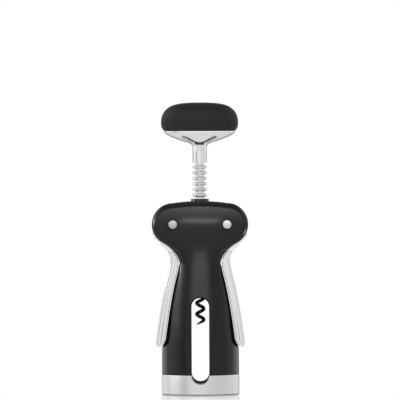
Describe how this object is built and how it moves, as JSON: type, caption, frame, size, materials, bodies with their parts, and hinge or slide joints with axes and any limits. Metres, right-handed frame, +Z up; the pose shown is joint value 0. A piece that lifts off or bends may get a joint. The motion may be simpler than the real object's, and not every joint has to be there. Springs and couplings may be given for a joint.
{
  "type": "winged corkscrew",
  "caption": "Upright winged corkscrew: oval knob on a ring-toothed rack, geared side levers, black split body with a sight window, pull-off foil cutter base.",
  "frame": {"origin": "centre of the base on the table it stands on", "axes": "+Z up along the spindle, towards the knob; +X towards the right-hand lever seen from the front; the front faces -Y"},
  "size_m": [0.0694, 0.0562, 0.211],
  "materials": {
    "satin_black": "satin moulded black",
    "black_casting": "matt black painted casting",
    "gloss_black": "gloss black",
    "worm_black": "smooth black non-stick coating on steel",
    "satin_silver": "satin silver",
    "polished_metal": "polished",
    "polished_steel": "polished turned steel",
    "plain_steel": "plain steel",
    "soft_black": "soft-touch black",
    "inner_plastic": "matt black moulded"
  },
  "bodies": {
    "housing": {"front_shell": "satin_black", "rear_shell": "satin_black", "inner_frame": "black_casting", "left_pivot_pin": "polished_steel", "right_pivot_pin": "polished_steel", "left_front_washer": "plain_steel", "left_rear_washer": "plain_steel", "right_front_washer": "plain_steel", "right_rear_washer": "plain_steel"},
    "bushing": {"top_bushing": "gloss_black"},
    "spindle": {"rack_shaft": "polished_steel", "worm": "worm_black", "worm_pin": "plain_steel", "knob_base": "polished_metal", "knob_core": "inner_plastic", "knob_grip": "soft_black", "knob_nut": "plain_steel"},
    "left_wing": {"left_lever": "satin_silver"},
    "right_wing": {"right_lever": "satin_silver"},
    "foil_cutter": {"base_ring": "satin_silver", "cutter_carrier": "inner_plastic", "cutter_axle_1": "plain_steel", "cutter_axle_2": "plain_steel", "cutter_axle_3": "plain_steel", "cutter_axle_4": "plain_steel"},
    "cutter_wheel_1": {"cutter_disc_1": "polished_steel"},
    "cutter_wheel_2": {"cutter_disc_2": "polished_steel"},
    "cutter_wheel_3": {"cutter_disc_3": "polished_steel"},
    "cutter_wheel_4": {"cutter_disc_4": "polished_steel"}
  },
  "joints": [
    {"name": "knob_spin", "type": "hinge", "parent": "housing", "child": "bushing", "pos_m": [0, 0, 0.1381], "axis": [0, 0, 1], "continuous": true},
    {"name": "rack_slide", "type": "slide", "parent": "bushing", "child": "spindle", "axis": [0, 0, -1], "range_m": [0, 0.036]},
    {"name": "left_lever_swing", "type": "hinge", "parent": "housing", "child": "left_wing", "pos_m": [-0.0196, 0, 0.123], "axis": [0, 1, 0], "range_deg": [0, 139.9]},
    {"name": "right_lever_swing", "type": "hinge", "parent": "housing", "child": "right_wing", "pos_m": [0.0196, 0, 0.123], "axis": [0, -1, 0], "range_deg": [0, 139.9]},
    {"name": "foil_cutter_pull", "type": "slide", "parent": "housing", "child": "foil_cutter", "axis": [0, 0, -1], "range_m": [0, 0.02]},
    {"name": "cutter_wheel_1_spin", "type": "hinge", "parent": "foil_cutter", "child": "cutter_wheel_1", "pos_m": [0.01386, 0.01386, 0.0056], "axis": [0, 0, 1], "continuous": true},
    {"name": "cutter_wheel_2_spin", "type": "hinge", "parent": "foil_cutter", "child": "cutter_wheel_2", "pos_m": [-0.01386, 0.01386, 0.0056], "axis": [0, 0, 1], "continuous": true},
    {"name": "cutter_wheel_3_spin", "type": "hinge", "parent": "foil_cutter", "child": "cutter_wheel_3", "pos_m": [-0.01386, -0.01386, 0.0056], "axis": [0, 0, 1], "continuous": true},
    {"name": "cutter_wheel_4_spin", "type": "hinge", "parent": "foil_cutter", "child": "cutter_wheel_4", "pos_m": [0.01386, -0.01386, 0.0056], "axis": [0, 0, 1], "continuous": true}
  ],
  "couplings": [
    {"joint": "left_lever_swing", "follows": "rack_slide", "rad_per_m": 67.787},
    {"joint": "right_lever_swing", "follows": "rack_slide", "rad_per_m": 67.787}
  ]
}
